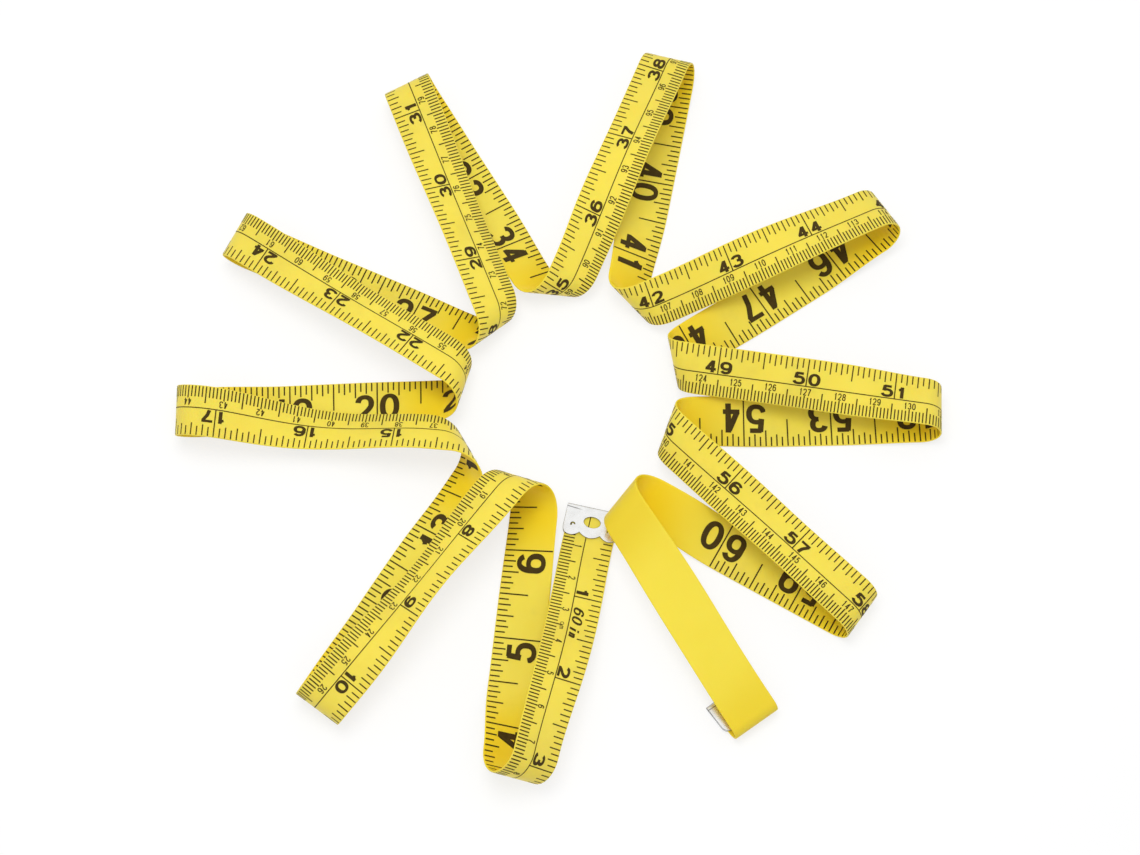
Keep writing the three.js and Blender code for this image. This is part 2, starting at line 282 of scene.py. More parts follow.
def tapeNormals(s, w):
    step = 0.00002
    along = tapePoints(s + step, w) - tapePoints(s - step, w)
    across = tapePoints(s, w + step) - tapePoints(s, w - step)
    normal = np.cross(along, across)
    return normal / np.linalg.norm(normal, axis=1)[:, None]


def tapeLines():  # lines across the tape along the folds' rulings, each as its middle and its slope
    lines = []
    for i, run in enumerate(runs):
        if i:
            fold = folds[i]
            count = math.ceil(2 * math.degrees(fold["half"]) / tape["foldStep"])
            for k in range(count):
                lines.append((fold["s"] + (k / count - 0.5) * fold["length"], fold["slope"]))
        slopeStart = folds[i]["slope"] if i else 0
        slopeStop = folds[i + 1]["slope"] if folds[i + 1] else 0
        count = math.ceil(run["length"] / tape["runStep"])
        for k in range(count):
            t = k / count
            lines.append((run["s"] + t * run["length"], slopeStart + (slopeStop - slopeStart) * t))
    lines.append((tapeLength, 0))
    return lines


lines = tapeLines()
print("tape laid: %.1f mm, %d lines" % (tapeLength * 1000, len(lines)))


def feed(tree, socket, value):  # a plain value, or a link from another node's socket
    if isinstance(value, bpy.types.NodeSocket):
        tree.links.new(value, socket)
    else:
        socket.default_value = value


def nodeSet(tree, kind, **values):  # a node with its settings and, for names that are sockets, what feeds them
    node = tree.nodes.new(kind)
    for name, value in values.items():
        if hasattr(node, name):
            setattr(node, name, value)
        else:
            feed(tree, node.inputs[name.replace("_", " ")], value)
    return node


def math2(tree, operation, a, b=0):
    node = nodeSet(tree, "ShaderNodeMath", operation=operation)
    feed(tree, node.inputs[0], a)
    feed(tree, node.inputs[1], b)
    return node.outputs[0]


def ranged(tree, value, given=(0, 1), wanted=(0, 1)):  # maps one range onto another and holds its ends
    return nodeSet(tree, "ShaderNodeMapRange", Value=value, From_Min=given[0], From_Max=given[1], To_Min=wanted[0],
                   To_Max=wanted[1]).outputs[0]


def mixed(tree, factor, first, second):  # two colours, each a value or a socket
    node = nodeSet(tree, "ShaderNodeMix", data_type="RGBA", Factor=factor)
    feed(tree, node.inputs[6], first)
    feed(tree, node.inputs[7], second)
    return node.outputs[2]


def noise(tree, place, settings):
    return nodeSet(tree, "ShaderNodeTexNoise", Vector=place, **settings).outputs["Fac"]


def mapAxes(tree, name):  # the two axes of a UV map
    uv = nodeSet(tree, "ShaderNodeUVMap", uv_map=name).outputs["UV"]
    return nodeSet(tree, "ShaderNodeSeparateXYZ", Vector=uv).outputs[:2]


def newMaterial(name):
    material = bpy.data.materials.new(name)
    material.use_nodes = True
    tree = material.node_tree
    place = nodeSet(tree, "ShaderNodeTexCoord").outputs["Object"]
    return material, tree, tree.nodes["Principled BSDF"].inputs, place


# Yellow coated cloth: a fine weave under a smooth coat, with wear at the selvedges and grime in patches, painted shade
# at the rays' tips and on the tail's bends, and painted yellow bounce light inside the folds
cloth = {
    "colour": (0.905, 0.745, 0.100, 1),
    "plainColour": (0.905, 0.745, 0.070, 1),  # the tail, past the print
    "printEnds": 1.527,
    "printBlur": 0.002,  # a share of the tape's length
    "deepColour": (0.840, 0.650, 0.030, 1),
    "wornFrom": 0.47,  # a share of the width from the middle
    "wornTint": 0.35,
    "threadPitch": 0.00042,
    "weaveTint": 0.035,
    "weaveDepth": 0.000012,
    "weaveBump": 0.35,
    "mottle": {"Scale": 90.0, "Detail": 4.0},
    "mottleTint": 0.55,
    "fleck": {"Scale": 2600.0, "Detail": 2.0},
    "fleckTint": 0.12,
    "foldColour": (0.930, 0.670, 0.010, 1),  # yellow light thrown back and forth inside a fold
    "foldDepth": 0.85,
    "foldReach": 0.024,
    "bendShadeColour": (0.800, 0.605, 0.018, 1),  # painted shade on the outside of the plain tail's bends
    "bendShadeDepth": 0.8,
    # the colour of grime, and of painted shade at the rays' tips
    "grimeAndShadeColour": (0.56, 0.47, 0.085, 1),
    "grime": {"Scale": 48.0, "Detail": 6.0, "Roughness": 0.62},
    "grimeRange": (0.52, 0.78),
    "smudge": 0.34,
    "tipShade": 0.22,  # painted shade at the folds of the rays' tips
    "tipShadeRange": (0.080, 0.118),
    "roughness": (0.36, 0.50),
    "specular": 0.35,
    "glow": 0.3,  # some light comes through the cloth
    "glowDepth": (0.0011, 0.0007, 0.0001),
}


def clothMaterial():
    material, tree, shader, place = newMaterial("tapeCloth")
    link = tree.links.new
    along, over = mapAxes(tree, "tapeUV")
    threads = 2 * math.pi / cloth["threadPitch"]
    weft = math2(tree, "SINE", math2(tree, "MULTIPLY", along, tapeLength * threads))
    warp = math2(tree, "SINE", math2(tree, "MULTIPLY", over, tape["width"] * threads))
    weave = math2(tree, "MULTIPLY", weft, warp)
    mottle, fleck, grime = [noise(tree, place, cloth[name]) for name in ("mottle", "fleck", "grime")]
    fromMiddle = math2(tree, "ABSOLUTE", math2(tree, "SUBTRACT", over, 0.5))
    depth = ranged(tree, fromMiddle, (cloth["wornFrom"], 0.5), (0, cloth["wornTint"]))
    for pattern, amount in ((mottle, "mottleTint"), (weave, "weaveTint"), (fleck, "fleckTint")):
        depth = math2(tree, "ADD", depth, math2(tree, "MULTIPLY", pattern, cloth[amount]))
    ends, blur = cloth["printEnds"] / tapeLength, cloth["printBlur"]
    unprinted = ranged(tree, along, (ends - blur, ends + blur))
    ground = mixed(tree, unprinted, cloth["colour"], cloth["plainColour"])
    tint = mixed(tree, depth, ground, cloth["deepColour"])
    fromCentre = nodeSet(tree, "ShaderNodeVectorMath", operation="DISTANCE")
    link(place, fromCentre.inputs[0])
    fromCentre.inputs[1].default_value = tape["starCentre"]
    # painted shade at the rays' tips, growing with distance from the star's centre
    tipShadeMask = ranged(tree, fromCentre.outputs["Value"], cloth["tipShadeRange"], (0, cloth["tipShade"]))
    grimeAndTipShade = math2(tree, "ADD", ranged(tree, grime, cloth["grimeRange"], (0, cloth["smudge"])), tipShadeMask)
    grimeAndTipShade = math2(tree, "MULTIPLY", grimeAndTipShade, math2(tree, "SUBTRACT", 1, unprinted))
    grimedAndShaded = mixed(tree, grimeAndTipShade, tint, cloth["grimeAndShadeColour"])
    # painted light and shade at the folds: above 0 for yellow bounce light inside them, below 0 for shade outside the
    # tail's bends
    inside = nodeSet(tree, "ShaderNodeAttribute", attribute_name="foldLightAndShade").outputs["Fac"]
    # painted shade on the outside of the plain tail's bends
    bent = mixed(tree, math2(tree, "MULTIPLY", inside, -cloth["bendShadeDepth"]), grimedAndShaded, cloth["bendShadeColour"])
    golden = mixed(tree, math2(tree, "MULTIPLY", inside, cloth["foldDepth"]), bent, cloth["foldColour"])
    link(golden, shader["Base Color"])
    relief = nodeSet(tree, "ShaderNodeBump", Strength=cloth["weaveBump"], Distance=cloth["weaveDepth"],
                     Height=math2(tree, "ADD", weave, fleck))
    link(relief.outputs[0], shader["Normal"])
    link(ranged(tree, mottle, wanted=cloth["roughness"]), shader["Roughness"])
    shader["Specular IOR Level"].default_value = cloth["specular"]
    shader["Subsurface Weight"].default_value = cloth["glow"]
    shader["Subsurface Radius"].default_value = cloth["glowDepth"]
    shader["Subsurface Scale"].default_value = 1.0
    return material


# Printed scale: dark brown ink, a little uneven
ink = {
    "colour": (0.030, 0.018, 0.003, 1),
    "thinColour": (0.075, 0.048, 0.006, 1),
    "patches": {"Scale": 900.0, "Detail": 3.0},
    "roughness": 0.6,
    "specular": 0.18,
    "rise": 0.00003,  # above the cloth
    "layer": 0.000008,  # between strokes that cross
}


def inkMaterial():
    material, tree, shader, place = newMaterial("scaleInk")
    tint = mixed(tree, noise(tree, place, ink["patches"]), ink["colour"], ink["thinColour"])
    tree.links.new(tint, shader["Base Color"])
    shader["Roughness"].default_value = ink["roughness"]
    shader["Specular IOR Level"].default_value = ink["specular"]
    return material


# Bright plated sheet metal with faint draw lines, with painted dark reflections along its bend and in its one crease,
# and painted shade along its sheared edge
metal = {
    "colour": (0.89, 0.89, 0.88, 1),
    "dullColour": (0.74, 0.74, 0.73, 1),
    "clouds": {"Scale": 420.0, "Detail": 5.0},
    "dullRange": (0.45, 0.8),
    "dullness": 0.6,
    "drawLines": {"Scale": 1.0, "Detail": 3.0},
    "drawAngle": -16,
    "drawScale": (900, 9000, 900),
    "drawRelief": 0.3,
    "bump": 0.15,
    "bumpDepth": 0.00001,
    "roughness": (0.19, 0.36),
    "bendReflectionBand": (0.015, 0.040),  # a band along the bend, painted dark as a reflection; this and the crease are places in the plate's UV map
    "bendReflectionDark": 0.8,
    "creaseSide": (-0.40, -0.165),
    "creaseStart": 0.064,
    "creaseRun": 0.018,
    "creaseWidth": 0.012,
    "creaseReflectionDark": 0.9,
    "creaseFades": 0.6,
}
# The sheet's edge, dark with painted shade; its colour also paints the dark reflections on the bend and crease
rim = {"colour": (0.115, 0.112, 0.105, 1), "grain": {"Scale": 3000.0, "Detail": 2.0}, "roughness": (0.35, 0.60)}


def metalMaterial():
    material, tree, shader, place = newMaterial("platedSteel")
    link = tree.links.new
    clouds = noise(tree, place, metal["clouds"])
    turn = (0, 0, math.radians(metal["drawAngle"]))
    stretch = nodeSet(tree, "ShaderNodeMapping", Vector=place, Rotation=turn, Scale=metal["drawScale"])
    drawLines = noise(tree, stretch.outputs[0], metal["drawLines"])
    dull = ranged(tree, clouds, metal["dullRange"], (0, metal["dullness"]))
    tint = mixed(tree, dull, metal["colour"], metal["dullColour"])
    fromBend, over = mapAxes(tree, "plateUV")
    # painted dark reflections: a band along the bend and a line in the crease, in the edge's dark colour
    bendReflection = ranged(tree, math2(tree, "ABSOLUTE", fromBend), metal["bendReflectionBand"], (metal["bendReflectionDark"], 0))
    run = ranged(tree, over, metal["creaseSide"])
    line = math2(tree, "ADD", math2(tree, "MULTIPLY", run, metal["creaseRun"]), metal["creaseStart"])
    offLine = math2(tree, "ABSOLUTE", math2(tree, "SUBTRACT", fromBend, line))
    crease = ranged(tree, offLine, (0, metal["creaseWidth"]), (metal["creaseReflectionDark"], 0))
    fading = ranged(tree, run, (metal["creaseFades"], 1), (1, 0))
    paintedDarkReflection = math2(tree, "MAXIMUM", bendReflection, math2(tree, "MULTIPLY", crease, fading))
    link(mixed(tree, paintedDarkReflection, tint, rim["colour"]), shader["Base Color"])
    link(ranged(tree, drawLines, wanted=metal["roughness"]), shader["Roughness"])
    height = math2(tree, "ADD", clouds, math2(tree, "MULTIPLY", drawLines, metal["drawRelief"]))
    relief = nodeSet(tree, "ShaderNodeBump", Strength=metal["bump"], Distance=metal["bumpDepth"], Height=height)
    link(relief.outputs[0], shader["Normal"])
    shader["Metallic"].default_value = 1.0
    return material


def rimMaterial():  # the sheared edge of the sheet, dark with painted shade
    material, tree, shader, place = newMaterial("paintedEdgeShade")
    grain = noise(tree, place, rim["grain"])
    tree.links.new(ranged(tree, grain, wanted=rim["roughness"]), shader["Roughness"])
    shader["Base Color"].default_value = rim["colour"]
    shader["Metallic"].default_value = 1.0
    return material


tapeCloth, scaleInk, platedSteel, paintedEdgeShade = clothMaterial(), inkMaterial(), metalMaterial(), rimMaterial()
print("materials made")


def addMesh(name, points, faces, material=None):
    mesh = bpy.data.meshes.new(name)
    mesh.from_pydata([tuple(p) for p in points], [], faces)
    if material:
        mesh.materials.append(material)
    mesh.validate()
    return addObject(name, mesh)


def gridFaces(rows, columns, base=0, closed=False):  # faces between rows of points; closed rows go round
    faces = []
    for row in range(rows - 1):
        here = base + row * columns
        for k in range(columns if closed else columns - 1):
            after = (k + 1) % columns
            faces.append((here + k, here + columns + k, here + columns + after, here + after))
    return faces


def unrollTape(mesh, s, w):  # the UV map is the flat tape
    uv = mesh.uv_layers.new(name="tapeUV")
    corners = np.empty(len(mesh.loops), int)
    mesh.loops.foreach_get("vertex_index", corners)
    flat = np.stack((s / tapeLength, w / tape["width"] + 0.5), axis=1)[corners]
    uv.data.foreach_set("uv", flat.ravel().astype(np.float32))


def ribbonSection():  # across and up, round the rim of the ribbon from one selvedge to the other and back
    inset = tape["edgeInset"]
    flat = tape["width"] / 2 - inset
    right = [flat * 0.33, flat * 0.66, flat - tape["selvedge"], flat]
    tops = [-w for w in reversed(right)] + [0] + right
    section = [(w, floorHeight) for w in tops]
    section += [(flat + inset * math.cos(a), floorHeight * math.sin(a)) for a in (math.pi / 4, 0, -math.pi / 4)]
    section += [(w, -floorHeight) for w in reversed(tops)]
    section += [(-flat - inset * math.cos(a), floorHeight * math.sin(a)) for a in (-math.pi / 4, 0, math.pi / 4)]
    return np.array(section)


def foldCloseness(s):  # 1 in a fold's arc, falling to 0 along the runs beside it
    near = np.zeros(len(s))
    for fold in folds[1:-1]:
        away = (np.abs(s - fold["s"]) - fold["length"] / 2) / cloth["foldReach"]
        near = np.maximum(near, 1 - smooth(np.clip(away, 0, 1)))
    return near


def addRibbon(name, stretch):
    section = ribbonSection()
    rows, around = len(stretch), len(section)
    w, up = np.tile(section, (rows, 1)).T
    middle, slope = np.repeat(np.array(stretch), around, axis=0).T
    s = middle + slope * w
    points = tapePoints(s, w) + tapeNormals(s, w) * up[:, None]
    faces = gridFaces(rows, around, closed=True)
    last = (rows - 1) * around
    faces += [tuple(range(around)), tuple(last + k for k in reversed(range(around)))]
    ribbon = addMesh(name, points, faces, tapeCloth)
    # painted yellow bounce light inside the folds and painted shade outside the tail's bends
    foldLightAndShade = ribbon.data.attributes.new("foldLightAndShade", "FLOAT", "POINT")
    near = foldCloseness(middle)
    bent = np.where(middle > cloth["printEnds"], -near ** 2, 0)  # below 0 on the outside of a bend, where it paints shade
    foldLightAndShade.data.foreach_set("value", np.where(up < 0, near, bent).astype(np.float32))
    unrollTape(ribbon.data, s, w)
    ribbon.data.shade_smooth()
    return ribbon


tailLeaves = folds[tailFold]["s"] + folds[tailFold]["length"] / 2
tailCut = (tailLeaves - tape["tailStart"], folds[tailFold]["slope"])
leastStep = 0.0001  # no line lies closer to the cut than this
starLines = [line for line in lines if line[0] < tailCut[0] - leastStep] + [tailCut]
tailLines = [tailCut] + [line for line in lines if line[0] > tailCut[0] + leastStep]
tapeRibbon = addRibbon("tapeRibbon", starLines)
tailRibbon = addRibbon("tailRibbon", tailLines)
print("ribbon made: %d and %d faces" % (len(tapeRibbon.data.polygons), len(tailRibbon.data.polygons)))


def addPrintSurface():  # the middle surface, unrolled in its UV map, that the print is wrapped on
    lanes = np.linspace(-0.5, 0.5, 9) * tape["width"]
    w = np.tile(lanes, len(starLines))
    middle, slope = np.repeat(np.array(starLines), len(lanes), axis=0).T
    s = middle + slope * w
    surface = addMesh("printSurface", tapePoints(s, w), gridFaces(len(starLines), len(lanes)))
    facing = surface.data.attributes.new("facing", "FLOAT_VECTOR", "POINT")
    facing.data.foreach_set("vector", tapeNormals(s, w).ravel().astype(np.float32))
    unrollTape(surface.data, s, w)
    return surface


printSurface = addPrintSurface()


def newTree(name, inputs):
    tree = bpy.data.node_groups.new(name, "GeometryNodeTree")
    for label, kind in inputs:
        tree.interface.new_socket(label, in_out="INPUT", socket_type="NodeSocket" + kind)
    tree.interface.new_socket("Geometry", in_out="OUTPUT", socket_type="NodeSocketGeometry")
    return tree, tree.nodes.new("NodeGroupInput").outputs, tree.nodes.new("NodeGroupOutput").inputs


def vector(tree, **axes):
    return nodeSet(tree, "ShaderNodeCombineXYZ", **axes).outputs[0]


def switched(tree, kind, which, off, on):
    node = nodeSet(tree, "GeometryNodeSwitch", input_type=kind, Switch=which)
    feed(tree, node.inputs["False"], off)
    feed(tree, node.inputs["True"], on)
    return node.outputs[0]


wrapInputs = [("Surface", "Object"), ("Tape Length", "Float"), ("Tape Width", "Float"), ("Rise", "Float"),
              ("Under Side", "Bool"), ("Ink", "Material")]


def makeWrapTree():  # flat print, x along and y across the tape, goes onto the folded surface
    tree, given, result = newTree("wrapOnTape", [("Geometry", "Geometry")] + wrapInputs)
    link = tree.links.new
    surface = nodeSet(tree, "GeometryNodeObjectInfo", Object=given["Surface"]).outputs["Geometry"]
    position = nodeSet(tree, "GeometryNodeInputPosition").outputs[0]
    flat = nodeSet(tree, "ShaderNodeSeparateXYZ", Vector=position).outputs
    over = math2(tree, "ADD", math2(tree, "DIVIDE", flat["Y"], given["Tape Width"]), 0.5)
    place = vector(tree, X=math2(tree, "DIVIDE", flat["X"], given["Tape Length"]), Y=over)
    facing, unrolled = [nodeSet(tree, "GeometryNodeInputNamedAttribute", data_type="FLOAT_VECTOR", Name=name)
                        for name in ("facing", "tapeUV")]
    middle, normal = [nodeSet(tree, "GeometryNodeSampleUVSurface", data_type="FLOAT_VECTOR", Mesh=surface, Value=field,
                              Source_UV_Map=unrolled.outputs[0], Sample_UV=place).outputs[0]
                      for field in (position, facing.outputs[0])]
    rise = math2(tree, "ADD", given["Rise"], flat["Z"])
    lift = nodeSet(tree, "ShaderNodeVectorMath", operation="SCALE", Scale=rise)
    link(normal, lift.inputs[0])
    lifted = nodeSet(tree, "ShaderNodeVectorMath", operation="ADD")
    link(middle, lifted.inputs[0])
    link(lift.outputs[0], lifted.inputs[1])
    moved = nodeSet(tree, "GeometryNodeSetPosition", Geometry=given["Geometry"], Position=lifted.outputs[0]).outputs[0]
    turned = nodeSet(tree, "GeometryNodeFlipFaces", Mesh=moved).outputs[0]
    chosen = switched(tree, "GEOMETRY", given["Under Side"], moved, turned)
    inked = nodeSet(tree, "GeometryNodeSetMaterial", Geometry=chosen, Material=given["Ink"])
    link(inked.outputs[0], result["Geometry"])
    return tree


wrapTree = makeWrapTree()


def wrapEnd(tree, given, result, instances):  # realizes the instances, wraps them on the tape and inks them
    real = nodeSet(tree, "GeometryNodeRealizeInstances", Geometry=instances)
    wrap = nodeSet(tree, "GeometryNodeGroup", node_tree=wrapTree, Geometry=real.outputs[0])
    for label, _ in wrapInputs:
        tree.links.new(given[label], wrap.inputs[label])
    tree.links.new(wrap.outputs[0], result["Geometry"])
    return tree


def makeTickTree():  # a row of ticks, longer at every first, second, third and fourth period
    own = [("First", "Float"), ("Spacing", "Float"), ("Count", "Int"), ("Edge", "Float"), ("Direction", "Float"),
           ("Line Width", "Float"), ("Reach 0", "Float")]
    for k in range(1, 5):
        own += [("Period %d" % k, "Int"), ("Reach %d" % k, "Float")]
    tree, given, result = newTree("tickRow", wrapInputs + own)
    row = nodeSet(tree, "GeometryNodeMeshLine", mode="OFFSET", Count=given["Count"],
                  Start_Location=vector(tree, X=given["First"], Y=given["Edge"]),
                  Offset=vector(tree, X=given["Spacing"]))
    index = nodeSet(tree, "GeometryNodeInputIndex").outputs[0]
    reach = given["Reach 0"]
    for k in range(1, 5):
        onPeriod = math2(tree, "LESS_THAN", math2(tree, "MODULO", index, given["Period %d" % k]), 0.5)
        reach = switched(tree, "FLOAT", onPeriod, reach, given["Reach %d" % k])
    tick = nodeSet(tree, "GeometryNodeMeshGrid", Size_X=1.0, Size_Y=1.0, Vertices_X=2, Vertices_Y=9)
    moved = nodeSet(tree, "GeometryNodeTransform", Geometry=tick.outputs["Mesh"],
                    Translation=vector(tree, Y=math2(tree, "MULTIPLY", given["Direction"], 0.5)))
    spread = nodeSet(tree, "GeometryNodeInstanceOnPoints", Points=row.outputs[0], Instance=moved.outputs[0],
                     Scale=vector(tree, X=given["Line Width"], Y=reach, Z=1.0))
    return wrapEnd(tree, given, result, spread.outputs[0])


def makeNumberTree():  # each point takes the numeral that its glyph attribute names
    tree, given, result = newTree("numberRow", [("Geometry", "Geometry"), ("Numerals", "Collection")] + wrapInputs)
    numerals = nodeSet(tree, "GeometryNodeCollectionInfo", Collection=given["Numerals"], Separate_Children=True,
                       Reset_Children=True)
    glyph = nodeSet(tree, "GeometryNodeInputNamedAttribute", data_type="INT", Name="glyph")
    spread = nodeSet(tree, "GeometryNodeInstanceOnPoints", Points=given["Geometry"], Instance=numerals.outputs[0],
                     Pick_Instance=True, Instance_Index=glyph.outputs[0])
    return wrapEnd(tree, given, result, spread.outputs[0])


def makeLineTree():  # one thin line along the tape
    own = [("First", "Float"), ("Last", "Float"), ("Across", "Float"), ("Line Width", "Float"), ("Steps", "Int")]
    tree, given, result = newTree("longLine", wrapInputs + own)
    length = math2(tree, "SUBTRACT", given["Last"], given["First"])
    strip = nodeSet(tree, "GeometryNodeMeshGrid", Size_X=length, Size_Y=given["Line Width"], Vertices_X=given["Steps"],
                    Vertices_Y=2)
    middle = math2(tree, "ADD", math2(tree, "MULTIPLY", length, 0.5), given["First"])
    moved = nodeSet(tree, "GeometryNodeTransform", Geometry=strip.outputs["Mesh"],
                    Translation=vector(tree, X=middle, Y=given["Across"]))
    return wrapEnd(tree, given, result, moved.outputs[0])


tickTree, numberTree, lineTree = makeTickTree(), makeNumberTree(), makeLineTree()


def setInputs(modifier, values):
    for socket in modifier.node_group.interface.items_tree:
        if socket.in_out == "INPUT" and socket.name in values:
            modifier[socket.identifier] = values[socket.name]


def makePrint(name, tree, underSide, values, mesh=None):
    obj = addObject(name, mesh or bpy.data.meshes.new(name))
    modifier = obj.modifiers.new(name, "NODES")
    modifier.node_group = tree
    rise = floorHeight + ink["rise"]
    wrap = {"Surface": printSurface, "Tape Length": tapeLength, "Tape Width": tape["width"],
            "Rise": -rise if underSide else rise, "Under Side": underSide, "Ink": scaleInk}
    setInputs(modifier, {**wrap, **values})
    plain = bpy.data.meshes.new_from_object(obj.evaluated_get(bpy.context.evaluated_depsgraph_get()))
    obj.modifiers.clear()
    obj.data = plain
    plain.name = name
    print("printed %s: %d faces" % (name, len(plain.polygons)))
    return obj


inch, centimetre = 0.0254, 0.01
scaleInches, scaleCentimetres = 60, 152
zeroMark = 0.0005
edge = tape["width"] / 2 - tape["edgeInset"]
prints = []


def across(fraction):  # a share of the width from the inch selvedge
    return (0.5 - fraction) * tape["width"]


def printTicks(name, row, direction, underSide=False):  # a row starts at one selvedge, in the direction of the other
    reaches = [part * tape["width"] - tape["edgeInset"] for part in row["reaches"]]
    values = {"First": zeroMark, "Spacing": row["spacing"], "Count": row["count"], "Edge": -direction * edge,
              "Direction": direction, "Line Width": row["lineWidth"], "Reach 0": reaches[0]}
    for k, period in enumerate(row["periods"], 1):
        values["Period %d" % k], values["Reach %d" % k] = period, reaches[k]
    prints.append(makePrint(name, tickTree, underSide, values))


# Face side: inches along one selvedge, centimetres along the other, a thin line between
sixteenths = {"spacing": inch / 16, "count": scaleInches * 16 + 1, "periods": (2, 4, 8, 16)}
inchRow = {**sixteenths, "lineWidth": 0.00034, "reaches": (0.195, 0.235, 0.255, 0.33, 0.547)}
cmRow = {"spacing": centimetre / 10, "count": 1525, "periods": (5, 10, 10, 10), "lineWidth": 0.00035,
         "reaches": (0.232, 0.345, 0.258, 0.258, 0.258)}
middleLine = {"at": 0.553, "lineWidth": 0.00028, "steps": 2400}
printTicks("inchTicks", inchRow, -1.0)
printTicks("millimetreTicks", cmRow, 1.0)
prints.append(makePrint("middleLine", lineTree, False, {
    "First": zeroMark, "Last": zeroMark + scaleInches * inch, "Across": across(middleLine["at"]),
    "Line Width": middleLine["lineWidth"], "Steps": middleLine["steps"],
    "Rise": floorHeight + ink["rise"] + ink["layer"]}))

# Back side: inches alone, full width
backRow = {**sixteenths, "lineWidth": 0.00040,
           "reaches": (0.205, 0.255, 0.335, 0.57, 1 - tape["edgeInset"] / tape["width"])}
printTicks("backInchTicks", backRow, 1.0, underSide=True)


ovalPower = 0.88  # below 1, an oval is fuller than an ellipse


def arc(x, y, radiusX, radiusY, start, stop, count):  # part of an oval
    turns = np.radians(np.linspace(start, stop, count))
    full = [np.sign(f(turns)) * np.abs(f(turns)) ** ovalPower for f in (np.cos, np.sin)]
    return np.stack((x + radiusX * full[0], y + radiusY * full[1]), axis=1)


def straight(*corners):
    parts = [np.linspace(a, b, 8)[:-1] for a, b in zip(corners, corners[1:])]
    return np.concatenate(parts + [np.array(corners[-1:])])


def joined(*paths):
    return np.concatenate(paths)


sixStrokes = [arc(0.5, 0.31, 0.5, 0.31, 0, 360, 28), arc(0.52, 0.5, 0.52, 0.5, 38, 196, 18)]
strokes = {  # middle lines of the pen strokes of each numeral and letter, in a box one wide and one high
    "0": [arc(0.5, 0.5, 0.5, 0.5, 0, 360, 36)],
    "1": [straight((0.70, 1.1), (0.70, -0.1)), straight((0.10, 0.76), (0.42, 0.80), (0.64, 0.93))],
    "2": [joined(arc(0.48, 0.71, 0.48, 0.29, 172, -28, 18), straight((0.74, 0.42), (0.28, 0.18), (0.06, 0.0))),
          straight((-0.1, 0.0), (1.1, 0.0))],
    "3": [arc(0.47, 0.76, 0.44, 0.24, 168, -90, 18), arc(0.48, 0.265, 0.52, 0.265, 90, -168, 18)],
    "4": [straight((0.72, 1.1), (0.72, -0.1)), straight((-0.1, 0.24), (1.1, 0.24)),
          straight((0.66, 1.0), (0.08, 0.25))],
    "5": [straight((0.12, 1.0), (0.95, 1.0)), straight((0.20, 1.05), (0.10, 0.50)),
          arc(0.46, 0.325, 0.54, 0.325, 128, -166, 20)],
    "6": sixStrokes,
    "7": [straight((-0.1, 1.0), (1.1, 1.0)),
          joined(straight((0.96, 0.94), (0.58, 0.50)), straight((0.48, 0.34), (0.34, -0.1)))],
    "8": [arc(0.5, 0.765, 0.42, 0.235, 0, 360, 28), arc(0.5, 0.27, 0.5, 0.27, 0, 360, 28)],
    "9": [1 - path for path in sixStrokes],
    "i": [straight((0.5, 0.70), (0.5, -0.1)), straight((0.5, 1.1), (0.5, 0.88))],
    "n": [straight((0.0, 1.1), (0.0, -0.1)),
          joined(arc(0.5, 0.52, 0.5, 0.48, 165, 0, 12), straight((1.0, 0.4), (1.0, -0.1)))],
    "c": [arc(0.5, 0.5, 0.5, 0.5, 48, 312, 18)],
    "m": [straight((0.0, 1.1), (0.0, -0.1)),
          joined(arc(0.25, 0.6, 0.25, 0.4, 165, 0, 10), straight((0.5, 0.5), (0.5, -0.1))),
          joined(arc(0.75, 0.6, 0.25, 0.4, 165, 0, 10), straight((1.0, 0.5), (1.0, -0.1)))],
}


def makeGlyph(name, letter, style):  # a numeral or letter as flat strips along its strokes
    size = np.array(style["size"]) * ((style.get("narrow", 1), 1) if letter == "1" else (1, 1))
    pen = np.array(style["pen"])
    points, faces = [], []
    lanes = np.linspace(-0.5, 0.5, 3)
    side = -1 if style.get("mirrored") else 1
    for layer, path in enumerate(strokes[letter]):  # strokes that cross lie one just over the other
        line = (path - 0.5) * (size - pen)
        closed = np.allclose(line[0], line[-1])
        before = np.roll(line, 1, axis=0) if not closed else np.concatenate((line[-2:-1], line[:-1]))
        after = np.roll(line, -1, axis=0) if not closed else np.concatenate((line[1:], line[1:2]))
        if not closed:
            before[0], after[-1] = line[0], line[-1]
        along = after - before
        along /= np.linalg.norm(along, axis=1)[:, None]
        beside = np.stack((-along[:, 1], along[:, 0]), axis=1) * pen
        base = len(points)
        for p, q in zip(line, beside):
            for lane in lanes:
                x, y = np.clip(p + q * lane, -size / 2, size / 2)
                points.append((x + style.get("slant", 0) * y, side * y, side * layer * ink["layer"]))
        faces += gridFaces(len(line), len(lanes), base)
    mesh = bpy.data.meshes.new(name)
    mesh.from_pydata(points, [], faces)
    return bpy.data.objects.new(name, mesh)


def makeGlyphs(label, letters, style):
    group = bpy.data.collections.new(label)
    for k, letter in enumerate(letters):
        group.objects.link(makeGlyph("%s%02d" % (label, k), letter, style))
    return group


def makeNumbers(name, glyphs, points, underSide):
    mesh = bpy.data.meshes.new(name)
    mesh.from_pydata([(s, w, 0) for s, w, _ in points], [], [])
    kinds = mesh.attributes.new("glyph", "INT", "POINT")
    kinds.data.foreach_set("value", [glyph for _, _, glyph in points])
    prints.append(makePrint(name, numberTree, underSide, {"Numerals": glyphs}, mesh))


digits = "0123456789"

